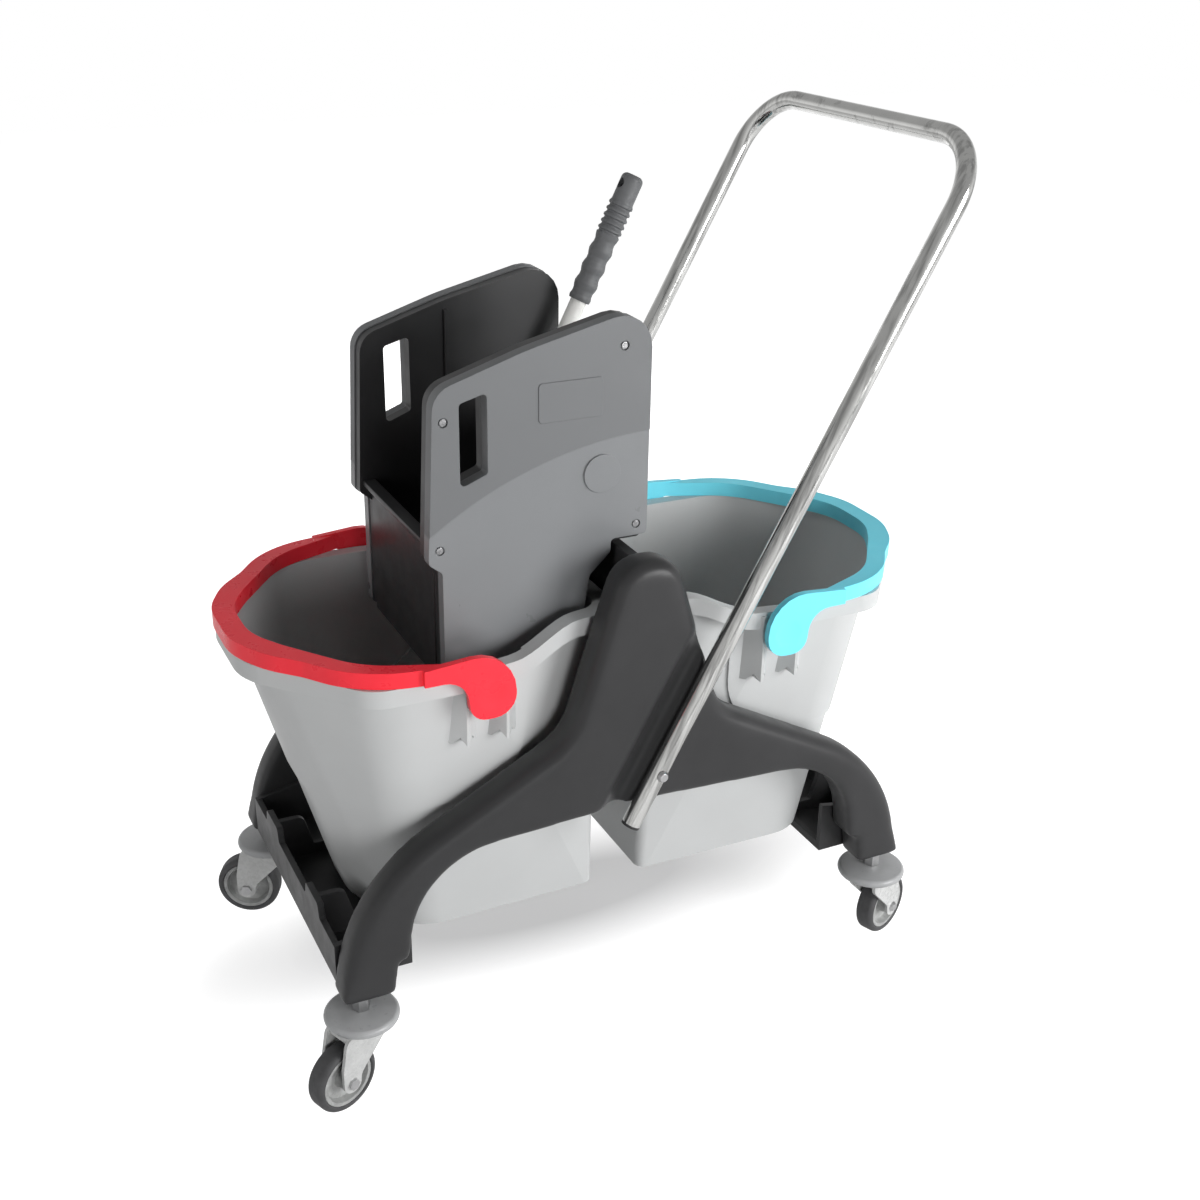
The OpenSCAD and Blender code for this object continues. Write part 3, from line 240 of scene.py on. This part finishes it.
def weight_group(name, side, reach, narrow):
    """Geometry nodes that weigh sharp edges for the bevel: fully past a distance from the middle, less elsewhere."""
    group, start, end = geometry_group(name)
    place = add(group, "ShaderNodeSeparateXYZ")
    group.links.new(add(group, "GeometryNodeInputPosition").outputs[0], place.inputs[0])
    away = add(group, "ShaderNodeMath", operation="ABSOLUTE")
    group.links.new(place.outputs[side], away.inputs[0])
    far = add(group, "ShaderNodeMath", operation="GREATER_THAN", inputs={1: reach})
    group.links.new(away.outputs[0], far.inputs[0])
    share = add(group, "ShaderNodeMapRange", inputs={"To Min": narrow})
    group.links.new(far.outputs[0], share.inputs["Value"])
    bend = add(group, "GeometryNodeInputMeshEdgeAngle")
    sharp = add(group, "ShaderNodeMath", operation="GREATER_THAN", inputs={1: BEVEL_ANGLE})
    group.links.new(bend.outputs["Unsigned Angle"], sharp.inputs[0])
    weight = add(group, "ShaderNodeMath", operation="MULTIPLY")
    group.links.new(share.outputs["Result"], weight.inputs[0])
    group.links.new(sharp.outputs[0], weight.inputs[1])
    store = add(group, "GeometryNodeStoreNamedAttribute", domain="EDGE", inputs={"Name": "bevel_weight_edge"})
    group.links.new(start.outputs[0], store.inputs["Geometry"])
    group.links.new(weight.outputs[0], store.inputs["Value"])
    group.links.new(store.outputs["Geometry"], end.inputs[0])
    return group


smooth = smooth_group(SMOOTH_ANGLE)


def soften(obj, voxel, rounds):
    """Turns a loft with hard folds into the soft skin of a thick moulding."""
    skin = obj.modifiers.new("skin", "REMESH")
    skin.mode = "VOXEL"
    skin.voxel_size = voxel
    skin.use_smooth_shade = True
    relax = obj.modifiers.new("relax", "SMOOTH")
    relax.factor = 0.5
    relax.iterations = rounds


def dress(obj, bevel, segments=2, weights=None):
    """Welds the CAD triangles, flattens coplanar ones, rounds the sharp edges and smooths the shading."""
    weld = obj.modifiers.new("weld", "WELD")
    weld.merge_threshold = WELD_REACH
    flatten = obj.modifiers.new("flatten", "DECIMATE")
    flatten.decimate_type = "DISSOLVE"
    flatten.angle_limit = FLAT_ANGLE
    if weights:
        obj.modifiers.new("weights", "NODES").node_group = weights
    round_off = obj.modifiers.new("round_off", "BEVEL")
    round_off.width = bevel
    round_off.segments = segments
    round_off.limit_method = "WEIGHT" if weights else "ANGLE"
    round_off.angle_limit = BEVEL_ANGLE
    round_off.use_clamp_overlap = True
    obj.modifiers.new("smooth", "NODES").node_group = smooth
    weighted = obj.modifiers.new("weighted", "WEIGHTED_NORMAL")
    weighted.keep_sharp = True


FRAME_VOXEL = 0.003
FRAME_ROUNDS = 24
# A cover's outer face lies past this distance from the middle; its other edges are rounded less
COVER_BEVEL = 0.003
COVER_SEGMENTS = 3
cover_face = weight_group("cover_face", "Y", reach=0.1215, narrow=0.3)
SMALL_BEVEL = 0.0004
BEVELS = {
    "end_beam_left": 0.0015, "end_beam_right": 0.0015, "centre_divider": 0.0015,
    "left_bucket": 0.0016, "right_bucket": 0.0016, "left_bail": 0.003, "right_bail": 0.003,
    "inner_panel_front": 0.001, "inner_panel_back": 0.001, "end_wall": 0.0015, "tie_bar": 0.001,
    "press_jaw": 0.0008, "drain_grid": 0.0006,
}
slot_of = {part["node"]: part["material_slot"] for part in frame["record"]["subparts"]}
for name, obj in nodes.items():
    if name.endswith("_fork"):
        look = looks["fork_grey"]
    elif name == "cover_screws":
        look = looks["screw_steel"]
    else:
        look = looks[slot_of[name]]
    for place in obj.material_slots:
        place.link = "OBJECT"
        place.material = look
    if name.startswith("side_cover"):
        dress(obj, COVER_BEVEL, COVER_SEGMENTS, cover_face)
    elif name.startswith("side_frame"):
        soften(obj, FRAME_VOXEL, FRAME_ROUNDS)
    else:
        dress(obj, BEVELS.get(name, SMALL_BEVEL))


# Stage: pale floor, white surroundings, soft lamps

def only_seen(tree, seen, unseen):
    """A value that is one number for camera, glossy and transmission rays and another for the rest."""
    path = add(tree, "ShaderNodeLightPath")
    mirrored = add(tree, "ShaderNodeMath", operation="MAXIMUM")
    tree.links.new(path.outputs["Is Camera Ray"], mirrored.inputs[0])
    tree.links.new(path.outputs["Is Glossy Ray"], mirrored.inputs[1])
    either = add(tree, "ShaderNodeMath", operation="MAXIMUM")
    tree.links.new(mirrored.outputs[0], either.inputs[0])
    tree.links.new(path.outputs["Is Transmission Ray"], either.inputs[1])
    return remap(tree, either.outputs[0], (0.0, 1.0), unseen, seen)


def surroundings(ambient, band, low, high):
    """White to the camera; reflections show a room that darkens from low to high, and little light comes from it."""
    world = bpy.data.worlds.new("surroundings")
    scene.world = world
    world.use_nodes = True
    tree = world.node_tree
    background = tree.nodes["Background"]
    tree.links.new(only_seen(tree, 1.0, ambient), background.inputs["Strength"])
    facing = add(tree, "ShaderNodeSeparateXYZ")
    tree.links.new(add(tree, "ShaderNodeTexCoord").outputs["Generated"], facing.inputs["Vector"])
    direct = add(tree, "ShaderNodeMath", operation="MAXIMUM")
    tree.links.new(remap(tree, facing.outputs["Z"], band, low, high), direct.inputs[0])
    tree.links.new(add(tree, "ShaderNodeLightPath").outputs["Is Camera Ray"], direct.inputs[1])
    tree.links.new(direct.outputs[0], background.inputs["Color"])


def studio_floor(grey, offset, spread, band, painted_shadow_glow, mirrored_loss):
    """A floor that takes shadows under the trolley and glows white away from it; its glow is dimmed in an ellipse
    round the trolley, a painted shadow.
    """
    bpy.ops.mesh.primitive_plane_add(size=14.0, location=(0, 0, 0))
    floor = bpy.context.object
    floor.name = "studio_floor"
    paint = bpy.data.materials.new("studio_floor")
    paint.use_nodes = True
    tree = paint.node_tree
    tree.nodes.remove(tree.nodes["Principled BSDF"])
    diffuse = add(tree, "ShaderNodeBsdfDiffuse", inputs={"Color": (*grey, 1.0)})
    glow = add(tree, "ShaderNodeEmission", inputs={"Color": (1.0, 1.0, 1.0, 1.0)})
    ellipse = add(tree, "ShaderNodeMapping", inputs={"Location": offset, "Scale": spread})
    tree.links.new(add(tree, "ShaderNodeTexCoord").outputs["Object"], ellipse.inputs["Vector"])
    away = add(tree, "ShaderNodeVectorMath", operation="LENGTH")
    tree.links.new(ellipse.outputs["Vector"], away.inputs[0])
    # The glow rises from the dim middle of the ellipse to white past the band: a painted shadow under the trolley
    glow_past_painted_shadow = remap(tree, away.outputs["Value"], band, painted_shadow_glow, 1.0)
    mirrored = add(tree, "ShaderNodeMath", operation="MULTIPLY", inputs={1: mirrored_loss})
    tree.links.new(add(tree, "ShaderNodeLightPath").outputs["Is Glossy Ray"], mirrored.inputs[0])
    share = add(tree, "ShaderNodeMath", operation="SUBTRACT")
    tree.links.new(only_seen(tree, 1.0, 0.0), share.inputs[0])
    tree.links.new(mirrored.outputs[0], share.inputs[1])
    strength = add(tree, "ShaderNodeMath", operation="MULTIPLY")
    tree.links.new(glow_past_painted_shadow, strength.inputs[0])
    tree.links.new(share.outputs[0], strength.inputs[1])
    tree.links.new(strength.outputs[0], glow.inputs["Strength"])
    total = add(tree, "ShaderNodeAddShader")
    tree.links.new(diffuse.outputs[0], total.inputs[0])
    tree.links.new(glow.outputs[0], total.inputs[1])
    tree.links.new(total.outputs[0], tree.nodes["Material Output"].inputs["Surface"])
    floor.data.materials.append(paint)
    return floor


LAMP_TARGET = Vector((0.0, 0.0, 0.4))


def lamp(name, azimuth, elevation, power, size=1.4, distance=2.6, mirrored=False):
    """A round soft lamp aimed at the trolley; azimuth runs from the front towards the right bucket."""
    data = bpy.data.lights.new(name, "AREA")
    data.shape = "DISK"
    data.size = size
    data.energy = power
    obj = bpy.data.objects.new(name, data)
    scene.collection.objects.link(obj)
    turn, rise = math.radians(azimuth), math.radians(elevation)
    way = Vector((math.sin(turn) * math.cos(rise), -math.cos(turn) * math.cos(rise), math.sin(rise)))
    obj.location = LAMP_TARGET + distance * way
    obj.rotation_euler = way.to_track_quat("Z", "Y").to_euler()
    obj.visible_glossy = mirrored


surroundings(ambient=0.01, band=(0.05, 0.4), low=0.85, high=0.4)
# The floor's dim ellipse is a painted shadow under the trolley
studio_floor(grey=(0.4, 0.4, 0.404), offset=(0.0, -0.35, 0.0), spread=(1.7, 5.9, 1.0),
                      band=(0.3, 0.9), painted_shadow_glow=0.29, mirrored_loss=0.5)
lamp("key", 32, 13, 48.0, mirrored=True)
lamp("front", -4, 3, 25.0, size=1.1)
lamp("right", 78, 15, 30.0)
lamp("left", -80, 12, 19.0)
lamp("top", 0, 86, 8.0, size=0.8)
lamp("back", -140, 36, 9.0)
lamp("behind", 158, 10, 34.0)


# Camera fitted to the photograph, whose frame is 1200 x 1200 pixels

FRAME_PX = 1200.0
FOCAL_PX = 1561.08
SENSOR = 36.0
CAMERA_PLACE = (-0.66723, -1.42742, 1.15253)
azimuth, elevation, roll = math.radians(-26.26), math.radians(24.53), math.radians(0.99)
camera_data = bpy.data.cameras.new("camera")
camera = bpy.data.objects.new("camera", camera_data)
scene.collection.objects.link(camera)
scene.camera = camera
back = Vector((math.sin(azimuth) * math.cos(elevation), -math.cos(azimuth) * math.cos(elevation),
               math.sin(elevation)))
right = (-back).cross(Vector((0, 0, 1))).normalized()
up = right.cross(-back).normalized()
rolled_right = math.cos(roll) * right + math.sin(roll) * up
rolled_up = -math.sin(roll) * right + math.cos(roll) * up
turn = Matrix((rolled_right, rolled_up, back)).transposed()
camera.matrix_world = Matrix.Translation(CAMERA_PLACE) @ turn.to_4x4()
camera_data.sensor_width = SENSOR
camera_data.lens = FOCAL_PX * SENSOR / FRAME_PX
camera_data.clip_start, camera_data.clip_end = 0.05, 50.0
